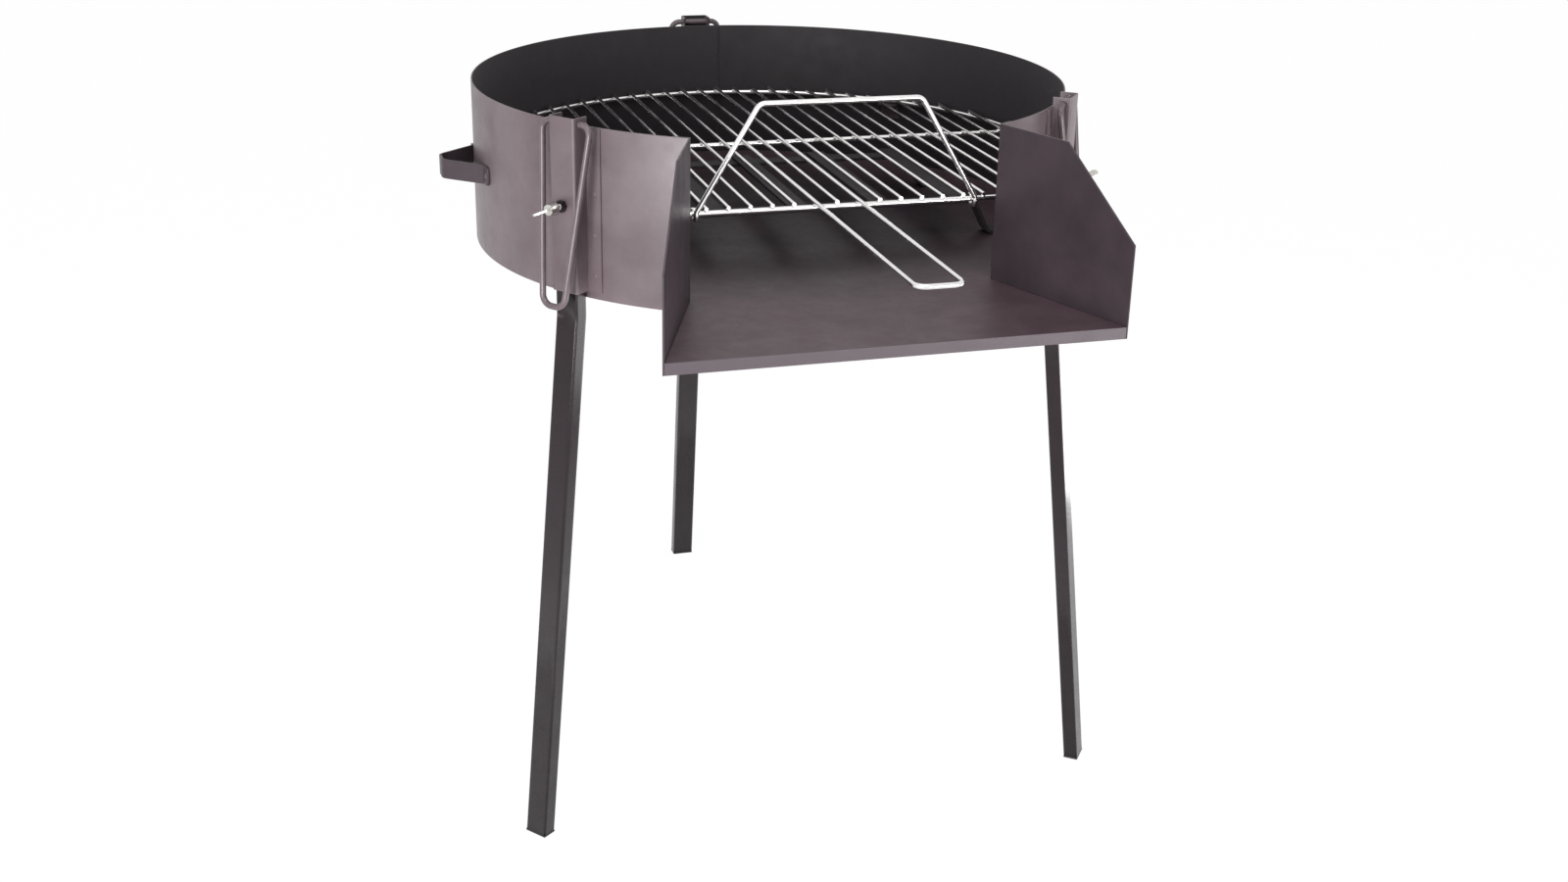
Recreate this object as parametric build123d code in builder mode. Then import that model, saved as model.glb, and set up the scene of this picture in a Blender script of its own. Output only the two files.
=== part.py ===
from build123d import *

import os
from math import atan, cos, degrees, radians, sin, sqrt, tan

# A charcoal grill: an open round steel drum on three splayed legs. The drum's mouth opens onto a
# front shelf between two wings. A wire cooking grate and a flat-bar fire grate lie inside it.
# Millimetres, +Z up, floor at Z = 0, front towards -Y. The origin is under the middle of the
# whole grill's outline; the drum's own axis stands behind it, at Y = drum_y.
# An azimuth is measured about the drum's axis, 0 at the front and positive towards +X.

# Drum and floor
drum_radius = 300.0  # outer face of the wall
sheet = 1.5  # wall, floor, shelf and wings
rim_height = 707.5
wall_height = 160.5
floor_rise = 12.5  # top of the floor above the wall's lower edge
mouth_angle = 29.7  # half of the mouth
weld_gap = 0.1  # between two faces that are welded together

# Shelf and wings
shelf_reach = 121.8  # from the wall's radius forwards to the shelf's front
shelf_front_width = 417.0
lip_depth = 11.0
wing_tab = 15.0  # the strip of a wing that laps the inside of the wall
wing_level_length = 86.0  # of its top edge, in plan
wing_front_height = 74.0  # above the shelf

# Leg brackets: folded channels with welded flanges
bracket_angle = 51.8  # azimuth of the two front ones
bracket_width = 30.0
bracket_sheet = 1.5
bracket_flange = 15.0
bracket_fold = 2.5  # outer radius of its two folds
bracket_above_rim = 9.0
bracket_above_edge = 7.0  # bottom of the bracket above the wall's lower edge
flange_below_rim = 1.0

# Legs: rectangular tubes, upright in the bracket and splayed below it
leg_width = 25.0
leg_depth = 15.0
leg_wall = 1.5
leg_corner = 2.0
leg_drum_gap = 1.0
leg_below_rim = 12.0
kink_below_bracket = 24.0
foot_reach = 80.5  # from the wall out to the leg's outer face, at the floor
plug_cap = 2.0
plug_depth = 20.0
plug_clearance = 0.2

# Clamp of each leg: a hexagon nut welded on the bracket, and a wing screw that presses on the leg
screw_below_rim = 72.0
screw_diameter = 6.0
screw_clearance = 0.3
screw_tip_gap = 0.3
thread_fit = 0.1
nut_width = 10.0  # across the flats
nut_height = 5.0
screw_stand_off = 6.0  # from the nut to the wing screw's hub
hub_diameter = 13.0
crown_diameter = 10.0
hub_height = 9.0
blade_span = 33.0
blade_height = 15.0
blade_thickness = 2.6
blade_tip = 4.0  # radius of the tip of its wings
blade_root = 1.0  # its wings stop this far short of both ends of the hub
screw_turn = 25.0  # how far its wings are turned from level, in degrees

# Pan supports: closed wire loops that hang outside and swing in over the rim
support_wire = 6.0
support_above_rim = 3.0
support_behind_plate = 6.0
support_hole_clearance = 0.3
support_beside_plate = 13.5
support_end_width = 25.4
support_length = 168.0
support_tilt = 8.0  # out from vertical, in degrees
support_corner = 9.0
support_end_corner = 11.0
wire_joint = 0.4  # gap where the two ends of a bent wire meet

# Carrying handles: flat straps bent to a bow
strap_width = 19.0
strap_thickness = 2.5
strap_reach = 35.5
strap_flat = 24.0  # the part farthest out
strap_span = 91.6  # where the bow meets the wall
strap_tab = 10.0
strap_corner = 12.0
strap_end_corner = 6.0
strap_below_rim = 77.8  # to the middle of the strap

# Cooking grate
frame_wire = 5.0
grate_gap = 2.6  # between the frame's wire and the wall
grate_below_rim = 76.9
chord_distance = 231.0
frame_corner = 15.0
cross_wire_y = 29.0
bar_wire = 3.75
bar_pitch = 20.8
handle_wire = 4.5
handle_reach = 500.0
handle_corner = 10.0

# Bail of the cooking grate
bail_wire = 5.0
bail_height = 99.3
bail_top_width = 154.0
bail_corner = 9.0
bail_eye_pitches = 6.5
bail_eye_clearance = 0.4
bail_tip = 4.0  # how far each hook rises behind the chord, above its middle
bail_lead = 2.5  # where the bail leaves the hook, above the chord's middle
wire_slack = 0.1  # a hook's bends are this much tighter than a full half round

# Lugs that carry the cooking grate
lug_azimuths = (-135.0, -70.0, 70.0, 135.0)
lug_reach = 13.0
lug_width = 22.0
lug_drop = 18.0
lug_sheet = 2.0
lug_corner = 4.0
rest_gap = 0.3

# Fire grate
fire_top = 40.5  # above the floor
fire_bar_width = 20.0
fire_bar_thickness = 3.0
fire_bar_pitch = 85.0
fire_bars_each_side = 2
fire_front = 120.0
fire_back = 105.0
cross_front = 105.0
cross_back = 90.0
cross_bend = 188.0
cross_foot = 205.0
cross_toe = 12.0
cross_corner = 6.0

# Worked out from the above
floor_top = rim_height - wall_height + floor_rise
wall_bottom = rim_height - wall_height
wing_bottom = floor_top - lip_depth
bracket_top = rim_height + bracket_above_rim
bracket_bottom = wall_bottom + bracket_above_edge
kink_height = bracket_bottom - kink_below_bracket
flange_top = rim_height - flange_below_rim
leg_top = rim_height - leg_below_rim
inner_radius = drum_radius - sheet
shelf_front = drum_radius + shelf_reach
clamp_radius = drum_radius + leg_drum_gap + leg_depth
foot_radius = drum_radius + foot_reach
plate_radius = clamp_radius + bracket_sheet
splay = atan((foot_radius - clamp_radius) / kink_height)
screw_height = rim_height - screw_below_rim
nut_radius = plate_radius + weld_gap
hub_radius = nut_radius + nut_height + screw_stand_off
hinge_radius = clamp_radius - support_behind_plate
hinge_height = rim_height + support_above_rim
grate_radius = inner_radius - grate_gap - frame_wire / 2
grate_height = rim_height - grate_below_rim
bar_height = grate_height + (frame_wire + bar_wire) / 2 + weld_gap
handle_height = grate_height + (frame_wire + handle_wire) / 2 + weld_gap
drum_y = (handle_reach + handle_wire / 2 - foot_radius) / 2
brackets = {"left": -bracket_angle, "right": bracket_angle, "rear": 180.0}
handles = {"left": -90.0, "right": 90.0}


def outward(azimuth):
    return Vector(sin(radians(azimuth)), -cos(radians(azimuth)), 0)


def tangent(azimuth):
    return Vector(cos(radians(azimuth)), sin(radians(azimuth)), 0)


def level(azimuth, height):
    # a plane level with the ground, about the drum's axis: x sideways, y outward
    return Plane(origin=(0, drum_y, height), x_dir=-tangent(azimuth), z_dir=(0, 0, 1))


def upright(azimuth):
    # a radial plane through the drum's axis: x outward, y up
    return Plane(origin=(0, drum_y, 0), x_dir=outward(azimuth), z_dir=-tangent(azimuth))


def facing(azimuth, radius, height):
    # a plane square to the radius, seen from outside: x sideways, y up
    origin = Vector(0, drum_y, height) + outward(azimuth) * radius
    return Plane(origin=origin, x_dir=tangent(azimuth), z_dir=outward(azimuth))


def hat_section(plane, width, outer, tab, thickness, corner):
    # a strap folded out from the drum and back, with a tab on the wall at each end
    wall = drum_radius + weld_gap
    with BuildSketch(plane) as section:
        Circle(wall + thickness)
        Rectangle(width + 2 * tab, 2 * outer, mode=Mode.INTERSECT)
        RectangleRounded(width, 2 * outer, corner)
        RectangleRounded(width - 2 * thickness, 2 * (outer - thickness), corner - thickness, mode=Mode.SUBTRACT)
        Circle(wall, mode=Mode.SUBTRACT)
        with Locations((0, outer)):
            Rectangle(2 * outer, 2 * outer, mode=Mode.INTERSECT)
    return section.sketch


def leg_outline(inset, bottom, top):
    # side view of a leg between two heights, as (radius, height), set in from its faces
    outline = []
    for face in (clamp_radius - inset, clamp_radius - leg_depth + inset):
        kink = kink_height - (clamp_radius - face) * tan(splay / 2)
        heights = [bottom, kink, top] if bottom < kink < top else [bottom, top]
        side = [(face + max(kink - height, 0) * tan(splay), height) for height in heights]
        outline += reversed(side) if outline else side
    return outline


def keep(piece, name):
    piece.part.label = name
    export_step(piece.part, f"parts/{name}.step")


os.makedirs("parts", exist_ok=True)

# The drum: a rolled wall with a mouth, and a floor that runs out through it as the shelf
wing_root = outward(mouth_angle) * (inner_radius - weld_gap)
wing_end = Vector(shelf_front_width / 2 + sheet, -shelf_front, 0)
wing_run = (wing_end - wing_root).normalized()
wing_inside = Vector(wing_run.Y, -wing_run.X, 0)

with BuildPart() as drum_wall:
    with BuildSketch(level(0, wall_bottom)):
        Circle(drum_radius)
        Circle(inner_radius, mode=Mode.SUBTRACT)
        mouth_corner = outward(mouth_angle) * 2 * drum_radius
        Polygon(
            (0, 0),
            (mouth_corner.X, -mouth_corner.Y),
            (-mouth_corner.X, -mouth_corner.Y),
            align=None,
            mode=Mode.SUBTRACT,
        )
    extrude(amount=wall_height)
keep(drum_wall, "drum_wall")

with BuildPart() as floor_and_shelf:
    shelf_root = wing_root + wing_inside * (sheet + weld_gap) - wing_run * drum_radius / 2
    shelf_end = wing_end + wing_inside * (sheet + weld_gap)
    with BuildSketch(level(0, floor_top)) as floor_plan:
        Circle(inner_radius - weld_gap)
        Polygon(
            (shelf_root.X, -shelf_root.Y),
            (shelf_end.X, -shelf_end.Y),
            (-shelf_end.X, -shelf_end.Y),
            (-shelf_root.X, -shelf_root.Y),
            align=None,
        )
    extrude(amount=-lip_depth)
    with BuildSketch(level(0, floor_top - sheet)):
        offset(floor_plan.sketch_local, amount=-sheet, kind=Kind.INTERSECTION)
    extrude(amount=-lip_depth, mode=Mode.SUBTRACT)
keep(floor_and_shelf, "floor_and_shelf")

for side, sign in {"left": -1, "right": 1}.items():
    tab_start = outward(mouth_angle + degrees(wing_tab / inner_radius)) * (inner_radius - weld_gap)
    tab_middle = outward(mouth_angle + degrees(wing_tab / inner_radius / 2)) * (inner_radius - weld_gap)
    with BuildPart() as wing:
        # the sheet seen from above: a tab that laps the wall, then the flat wing
        with BuildSketch(Plane((0, drum_y, wing_bottom))) as wing_plan:
            with BuildLine() as wing_line:
                ThreePointArc(tab_start, tab_middle, wing_root)
                Line(wing_root, wing_end)
                offset(amount=sheet, side=Side.RIGHT)
            make_face()
            if sign < 0:
                mirror(wing_plan.sketch_local, about=Plane.YZ, mode=Mode.REPLACE)
        extrude(amount=rim_height - wing_bottom)
        # the front corner is cut off at a slant
        slant_start = wing_root + wing_run * wing_level_length
        slant_end = wing_root + wing_run * (wing_end - wing_root).length
        with BuildSketch(Plane((0, drum_y, 0), x_dir=(0, -1, 0), z_dir=(-1, 0, 0))):
            Polygon(
                (-slant_start.Y, rim_height),
                (-slant_end.Y, floor_top + wing_front_height),
                (-slant_end.Y + lip_depth, floor_top + wing_front_height),
                (-slant_end.Y + lip_depth, rim_height + lip_depth),
                (-slant_start.Y, rim_height + lip_depth),
                align=None,
            )
        extrude(amount=drum_radius, both=True, mode=Mode.SUBTRACT)
        # the tab stops above the floor
        with BuildSketch(level(0, wing_bottom)):
            Circle(inner_radius)
        extrude(amount=floor_top + weld_gap - wing_bottom, mode=Mode.SUBTRACT)
    keep(wing, f"{side}_wing")

# Brackets, legs and clamps
for side, azimuth in brackets.items():
    with BuildPart() as bracket:
        extrude(
            hat_section(
                level(azimuth, bracket_bottom),
                bracket_width,
                plate_radius,
                bracket_flange,
                bracket_sheet,
                bracket_fold,
            ),
            amount=flange_top - bracket_bottom,
        )
        extrude(
            hat_section(
                level(azimuth, flange_top),
                bracket_width,
                plate_radius,
                0,
                bracket_sheet,
                bracket_fold,
            ),
            amount=bracket_top - flange_top,
        )
        with BuildSketch(upright(azimuth)):
            with Locations((hinge_radius, hinge_height)):
                Circle(support_wire / 2 + support_hole_clearance)
        extrude(amount=bracket_width, both=True, mode=Mode.SUBTRACT)
        with BuildSketch(facing(azimuth, clamp_radius, screw_height)):
            Circle(screw_diameter / 2 + screw_clearance)
        extrude(amount=2 * bracket_sheet, mode=Mode.SUBTRACT)
    keep(bracket, f"{side}_bracket")

    with BuildPart() as leg:
        with BuildSketch(upright(azimuth)):
            Polygon(*leg_outline(0, plug_cap, leg_top), align=None)
        extrude(amount=leg_width / 2, both=True)
        long_edges = leg.edges().filter_by(lambda edge: edge.length > 2 * leg_width)
        fillet(long_edges, leg_corner)
        with BuildSketch(upright(azimuth)):
            Polygon(*leg_outline(leg_wall, 0, leg_top + leg_wall), align=None)
        extrude(amount=leg_width / 2 - leg_wall, both=True, mode=Mode.SUBTRACT)
    keep(leg, f"{side}_leg")

    with BuildPart() as pan_support:
        down = outward(azimuth) * sin(radians(support_tilt)) - Vector(0, 0, cos(radians(support_tilt)))
        hinge = facing(azimuth, hinge_radius, hinge_height)
        hanging = Plane(origin=hinge.origin, x_dir=hinge.x_dir, z_dir=hinge.x_dir.cross(down))
        loop_top = bracket_width / 2 + support_beside_plate
        with BuildLine(hanging) as loop:
            FilletPolyline(
                (wire_joint / 2, 0),
                (loop_top, 0),
                (support_end_width / 2, support_length),
                (-support_end_width / 2, support_length),
                (-loop_top, 0),
                (-wire_joint / 2, 0),
                radius=[support_corner, support_end_corner, support_end_corner, support_corner],
            )
        with BuildSketch(Plane(origin=loop.line @ 0, z_dir=loop.line % 0)):
            Circle(support_wire / 2)
        sweep()
    keep(pan_support, f"{side}_pan_support")

    with BuildPart() as wing_screw:
        tip = facing(azimuth, clamp_radius + screw_tip_gap, screw_height)
        with BuildSketch(tip):
            Circle(screw_diameter / 2)
        extrude(amount=hub_radius + hub_height / 2 - clamp_radius - screw_tip_gap)
        seat = facing(azimuth, hub_radius, screw_height)
        with BuildSketch(seat):
            Circle(hub_diameter / 2)
        with BuildSketch(seat.offset(hub_height)):
            Circle(crown_diameter / 2)
        loft()
        span = seat.x_dir * cos(radians(screw_turn)) + seat.y_dir * sin(radians(screw_turn))
        with BuildSketch(Plane(origin=seat.origin, x_dir=span, z_dir=span.cross(seat.z_dir))):
            for end in (-1, 1):
                with BuildSketch(mode=Mode.PRIVATE) as blade:
                    with Locations((end * (blade_span / 2 - blade_tip), blade_height - blade_tip)):
                        Circle(blade_tip)
                    with Locations((end * crown_diameter / 4, hub_height / 2)):
                        Rectangle(crown_diameter / 2, hub_height - 2 * blade_root)
                    make_hull()
                add(blade.sketch)
        extrude(amount=blade_thickness / 2, both=True)
    keep(wing_screw, f"{side}_wing_screw")

with BuildPart() as foot_plugs:
    for azimuth in brackets.values():
        with BuildSketch(upright(azimuth)):
            Polygon(*leg_outline(0, 0, plug_cap), align=None)
        extrude(amount=leg_width / 2, both=True)
        with BuildSketch(upright(azimuth)):
            Polygon(*leg_outline(leg_wall + plug_clearance, plug_cap, plug_depth), align=None)
        extrude(amount=leg_width / 2 - leg_wall - plug_clearance, both=True)
keep(foot_plugs, "foot_plugs")

with BuildPart() as clamp_nuts:
    for azimuth in brackets.values():
        with BuildSketch(facing(azimuth, nut_radius, screw_height)):
            RegularPolygon(nut_width / 2, 6, major_radius=False)
            Circle(screw_diameter / 2 + thread_fit, mode=Mode.SUBTRACT)
        extrude(amount=nut_height)
keep(clamp_nuts, "clamp_nuts")

for side, azimuth in handles.items():
    with BuildPart() as handle:
        wall = drum_radius + weld_gap
        outer = drum_radius + strap_reach
        # the bow's outer face meets the wall at half the span, and runs on inside the wall's face
        wall_y = sqrt(wall**2 - (strap_span / 2) ** 2)
        lean = (strap_span - strap_flat) / 2 / (outer - wall_y)
        bow_foot = wall_y - 2 * strap_thickness
        foot_half = strap_span / 2 + lean * (wall_y - bow_foot)
        strap_bottom = rim_height - strap_below_rim - strap_width / 2
        with BuildSketch(level(azimuth, strap_bottom)):
            Circle(wall + strap_thickness)
            Rectangle(strap_span + 2 * strap_tab, 2 * outer, mode=Mode.INTERSECT)
            with BuildLine():
                bow = FilletPolyline(
                    (-foot_half, bow_foot),
                    (-strap_flat / 2, outer),
                    (strap_flat / 2, outer),
                    (foot_half, bow_foot),
                    radius=strap_corner,
                )
                Line(bow @ 1, bow @ 0)
            bow_face = make_face()
            offset(bow_face, amount=-strap_thickness, mode=Mode.SUBTRACT)
            Circle(wall, mode=Mode.SUBTRACT)
            with Locations((0, outer)):
                Rectangle(2 * outer, 2 * outer, mode=Mode.INTERSECT)
        extrude(amount=strap_width)
        across = handle.edges().filter_by(Axis((0, 0, 0), outward(azimuth)))
        ends = across.group_by(Axis((0, 0, 0), tangent(azimuth)))
        fillet(ends[0] + ends[-1], strap_end_corner)
    keep(handle, f"{side}_handle")

# The cooking grate: a D-shaped frame, a cross wire, bars laid on both, and a long wire handle
with BuildPart() as grate_frame:
    chord_end = sqrt(grate_radius**2 - chord_distance**2)
    with BuildLine(level(0, grate_height)) as frame_line:
        Line((wire_joint / 2, chord_distance), (chord_end, chord_distance))
        ThreePointArc((chord_end, chord_distance), (0, -grate_radius), (-chord_end, chord_distance))
        Line((-chord_end, chord_distance), (-wire_joint / 2, chord_distance))
        corners = frame_line.vertices().filter_by(lambda vertex: abs(vertex.X) > chord_end - wire_joint)
        fillet(corners.filter_by(lambda vertex: vertex.Y < drum_y), frame_corner)
    with BuildSketch(Plane(origin=frame_line.line @ 0, z_dir=frame_line.line % 0)):
        Circle(frame_wire / 2)
    sweep()
keep(grate_frame, "grate_frame")

with BuildPart() as grate_cross_wire:
    cross_half = sqrt(grate_radius**2 - cross_wire_y**2) - frame_wire / 2 - wire_joint
    with BuildSketch(Plane.YZ.offset(-cross_half)):
        with Locations((drum_y + cross_wire_y, grate_height)):
            Circle(frame_wire / 2)
    extrude(amount=2 * cross_half)
keep(grate_cross_wire, "grate_cross_wire")

with BuildPart() as grate_bars:
    bars_each_side = int((grate_radius - bar_wire) / bar_pitch)
    for place in range(-bars_each_side, bars_each_side + 1):
        if abs(place) == 1:
            continue  # the two legs of the handle lie here
        bar_x = place * bar_pitch
        back = sqrt(grate_radius**2 - bar_x**2)
        front = min(back, chord_distance)
        with BuildSketch(Plane.XZ.offset(front + frame_wire / 2 - drum_y)):
            with Locations((bar_x, bar_height)):
                Circle(bar_wire / 2)
        extrude(amount=-(front + back + frame_wire))
keep(grate_bars, "grate_bars")

# The handle's two legs lie between the bars, and the bow joins them in front
bow_start = handle_reach - handle_corner
with BuildPart() as grate_handle_legs:
    handle_back = sqrt(grate_radius**2 - bar_pitch**2) + frame_wire / 2
    with BuildSketch(Plane.XZ.offset(bow_start - drum_y)):
        with Locations((-bar_pitch, handle_height), (bar_pitch, handle_height)):
            Circle(handle_wire / 2)
    extrude(amount=-(handle_back + bow_start))
keep(grate_handle_legs, "grate_handle_legs")

with BuildPart() as grate_handle_bow:
    bow_half = bar_pitch - handle_corner
    with BuildLine(level(0, handle_height)) as bow_line:
        CenterArc((bow_half, bow_start), handle_corner, 0, 90)
        Line((bow_half, handle_reach), (-bow_half, handle_reach))
        CenterArc((-bow_half, bow_start), handle_corner, 90, 90)
    with BuildSketch(Plane(origin=bow_line.line @ 0, z_dir=bow_line.line % 0)):
        Circle(handle_wire / 2)
    sweep()
keep(grate_handle_bow, "grate_handle_bow")

# The bail stands on the chord of the frame, each end hooked under it between two bars
with BuildPart() as grate_bail:
    eye_x = bail_eye_pitches * bar_pitch
    eye_radius = (frame_wire + bail_wire) / 2 + bail_eye_clearance
    chord_y = drum_y - chord_distance
    half_bail = [
        (eye_x, chord_y + eye_radius, grate_height + bail_tip),
        (eye_x, chord_y + eye_radius, grate_height - eye_radius),
        (eye_x, chord_y - eye_radius, grate_height - eye_radius),
        (eye_x, chord_y - eye_radius, grate_height + bail_lead),
        (bail_top_width / 2, chord_y - eye_radius, grate_height + bail_height),
    ]
    half_bends = [eye_radius - wire_slack, eye_radius - wire_slack, bail_lead, bail_corner]
    with BuildLine() as bail_line:
        FilletPolyline(
            *half_bail,
            *[(-x, y, z) for x, y, z in reversed(half_bail)],
            radius=half_bends + half_bends[::-1],
        )
    with BuildSketch(Plane(origin=bail_line.line @ 0, z_dir=bail_line.line % 0)):
        Circle(bail_wire / 2)
    sweep()
keep(grate_bail, "grate_bail")

with BuildPart() as grate_lugs:
    # small angles on the inside of the wall, under the frame
    lug_radius = sqrt((inner_radius - weld_gap) ** 2 - (lug_width / 2) ** 2)
    lug_top = grate_height - frame_wire / 2 - rest_gap
    for azimuth in lug_azimuths:
        with BuildSketch(upright(azimuth)) as lug_side:
            with BuildLine():
                FilletPolyline(
                    (lug_radius, lug_top - lug_drop),
                    (lug_radius, lug_top),
                    (lug_radius - lug_reach, lug_top),
                    radius=lug_corner,
                )
                offset(amount=lug_sheet, side=Side.LEFT)
            make_face()
        extrude(amount=lug_width / 2, both=True)
keep(grate_lugs, "grate_lugs")

# The fire grate: flat bars on two cross bars whose ends turn down as its feet
fire_bar_top = floor_top + fire_top
with BuildPart() as fire_grate_bars:
    for place in range(-fire_bars_each_side, fire_bars_each_side + 1):
        with BuildSketch(Plane((0, drum_y, fire_bar_top))):
            with Locations((place * fire_bar_pitch, (fire_back - fire_front) / 2)):
                Rectangle(fire_bar_width, fire_front + fire_back)
        extrude(amount=-fire_bar_thickness)
keep(fire_grate_bars, "fire_grate_bars")

for end, cross_y in {"front": -cross_front, "rear": cross_back}.items():
    with BuildPart() as fire_cross:
        cross_top = fire_bar_top - fire_bar_thickness - weld_gap
        foot_top = floor_top + rest_gap + fire_bar_thickness
        half_cross = [(cross_foot + cross_toe, foot_top), (cross_foot, foot_top), (cross_bend, cross_top)]
        with BuildSketch(Plane.XZ.offset(-drum_y - cross_y - fire_bar_width / 2)):
            with BuildLine():
                FilletPolyline(
                    *half_cross,
                    *[(-x, z) for x, z in reversed(half_cross)],
                    radius=cross_corner,
                )
                offset(amount=fire_bar_thickness, side=Side.LEFT)
            make_face()
        extrude(amount=fire_bar_width)
    keep(fire_cross, f"fire_grate_{end}_cross")
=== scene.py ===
import math

import bmesh
import bpy
from mathutils import Matrix, Vector


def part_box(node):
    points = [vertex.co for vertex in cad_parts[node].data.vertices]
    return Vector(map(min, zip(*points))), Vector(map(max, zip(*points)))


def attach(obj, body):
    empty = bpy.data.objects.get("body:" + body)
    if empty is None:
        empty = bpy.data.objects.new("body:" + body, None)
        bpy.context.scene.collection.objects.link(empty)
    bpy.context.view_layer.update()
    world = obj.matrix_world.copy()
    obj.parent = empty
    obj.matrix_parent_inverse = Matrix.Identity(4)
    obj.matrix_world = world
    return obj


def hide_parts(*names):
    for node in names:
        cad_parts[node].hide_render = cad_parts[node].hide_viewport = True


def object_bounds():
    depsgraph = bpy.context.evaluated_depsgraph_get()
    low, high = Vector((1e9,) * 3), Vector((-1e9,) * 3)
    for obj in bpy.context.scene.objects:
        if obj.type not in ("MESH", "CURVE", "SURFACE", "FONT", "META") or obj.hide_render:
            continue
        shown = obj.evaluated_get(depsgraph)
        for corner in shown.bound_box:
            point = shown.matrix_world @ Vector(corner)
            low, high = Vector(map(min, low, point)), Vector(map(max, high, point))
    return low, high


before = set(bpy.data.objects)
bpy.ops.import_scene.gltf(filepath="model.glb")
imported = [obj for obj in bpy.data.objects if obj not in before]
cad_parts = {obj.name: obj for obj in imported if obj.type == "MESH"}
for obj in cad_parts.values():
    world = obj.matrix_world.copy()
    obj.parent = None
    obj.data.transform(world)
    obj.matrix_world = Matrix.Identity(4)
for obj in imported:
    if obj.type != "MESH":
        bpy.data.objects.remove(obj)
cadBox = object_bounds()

mm = 0.001
scene = bpy.context.scene
scene.view_settings.view_transform = "Standard"

# The drum: an upright axis behind the middle of the grill, azimuth 0 at the front
wallLow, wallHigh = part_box("drum_wall")
drum = {
    "radius": wallHigh.x,
    "axisY": wallHigh.y - wallHigh.x,
    "bottom": wallLow.z,
    "rim": wallHigh.z,
    "sheet": 1.5 * mm,
    "mouthAngle": 29.7,
    "edgeRound": 0.4 * mm,
    "steps": 260,
}
axis = Vector((0, drum["axisY"], 0))
legAzimuths = {"left": -51.8, "right": 51.8, "rear": 180.0}


def outward(azimuth):
    return Vector((math.sin(math.radians(azimuth)), -math.cos(math.radians(azimuth)), 0))


def tangent(azimuth):
    return Vector((math.cos(math.radians(azimuth)), math.sin(math.radians(azimuth)), 0))


# ---- camera, room and lamps
view = {
    "lens": 43.04,
    "sensor": 36.0,
    "place": (-0.53787, -1.772545, 1.07782),
    "turn": 0.298,
    "tilt": -0.384,
    "roll": 0.023,
}


def aimCamera():
    ahead = Vector((
        math.sin(view["turn"]) * math.cos(view["tilt"]),
        math.cos(view["turn"]) * math.cos(view["tilt"]),
        math.sin(view["tilt"]),
    ))
    side = Vector((math.cos(view["turn"]), -math.sin(view["turn"]), 0))
    up = side.cross(ahead)
    rolledSide = side * math.cos(view["roll"]) + up * math.sin(view["roll"])
    rolledUp = up * math.cos(view["roll"]) - side * math.sin(view["roll"])
    camera = bpy.data.objects.new("camera", bpy.data.cameras.new("camera"))
    camera.data.lens = view["lens"]
    camera.data.sensor_width = view["sensor"]
    turned = Matrix((rolledSide, rolledUp, -ahead)).transposed().to_4x4()
    camera.matrix_world = Matrix.Translation(view["place"]) @ turned
    scene.collection.objects.link(camera)
    scene.camera = camera


aimCamera()
print("camera set")


def hexColour(code):
    # an sRGB hex value as linear red, green, blue and alpha
    parts = [int(code[i:i + 2], 16) / 255 for i in (1, 3, 5)]
    return [p / 12.92 if p <= 0.04045 else ((p + 0.055) / 1.055) ** 2.4 for p in parts] + [1.0]


def addNode(tree, kind, sockets=None, **settings):
    # a node with its settings; a socket given as a value is linked
    node = tree.nodes.new(kind)
    for key, value in settings.items():
        setattr(node, key, value)
    for key, value in (sockets or {}).items():
        if isinstance(value, bpy.types.NodeSocket):
            tree.links.new(value, node.inputs[key])
        else:
            node.inputs[key].default_value = value
    return node


def newMaterial(name):
    material = bpy.data.materials.new(name)
    material.use_nodes = True
    material.node_tree.nodes.clear()
    tree = material.node_tree
    shader = addNode(tree, "ShaderNodeBsdfPrincipled")
    addNode(tree, "ShaderNodeOutputMaterial", {"Surface": shader.outputs["BSDF"]})
    return material, tree, shader


def seenDirectly(tree):
    # 1 for camera, glossy and transmission rays
    path = addNode(tree, "ShaderNodeLightPath")
    first = addNode(
        tree,
        "ShaderNodeMath",
        {0: path.outputs["Is Camera Ray"], 1: path.outputs["Is Glossy Ray"]},
        operation="ADD",
    )
    return addNode(
        tree,
        "ShaderNodeMath",
        {0: first.outputs[0], 1: path.outputs["Is Transmission Ray"]},
        operation="ADD",
        use_clamp=True,
    ).outputs[0]


room = {"ambient": 0.22, "floorSize": 14.0, "floorGlow": 0.95, "glowStrength": 1.03}


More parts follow.
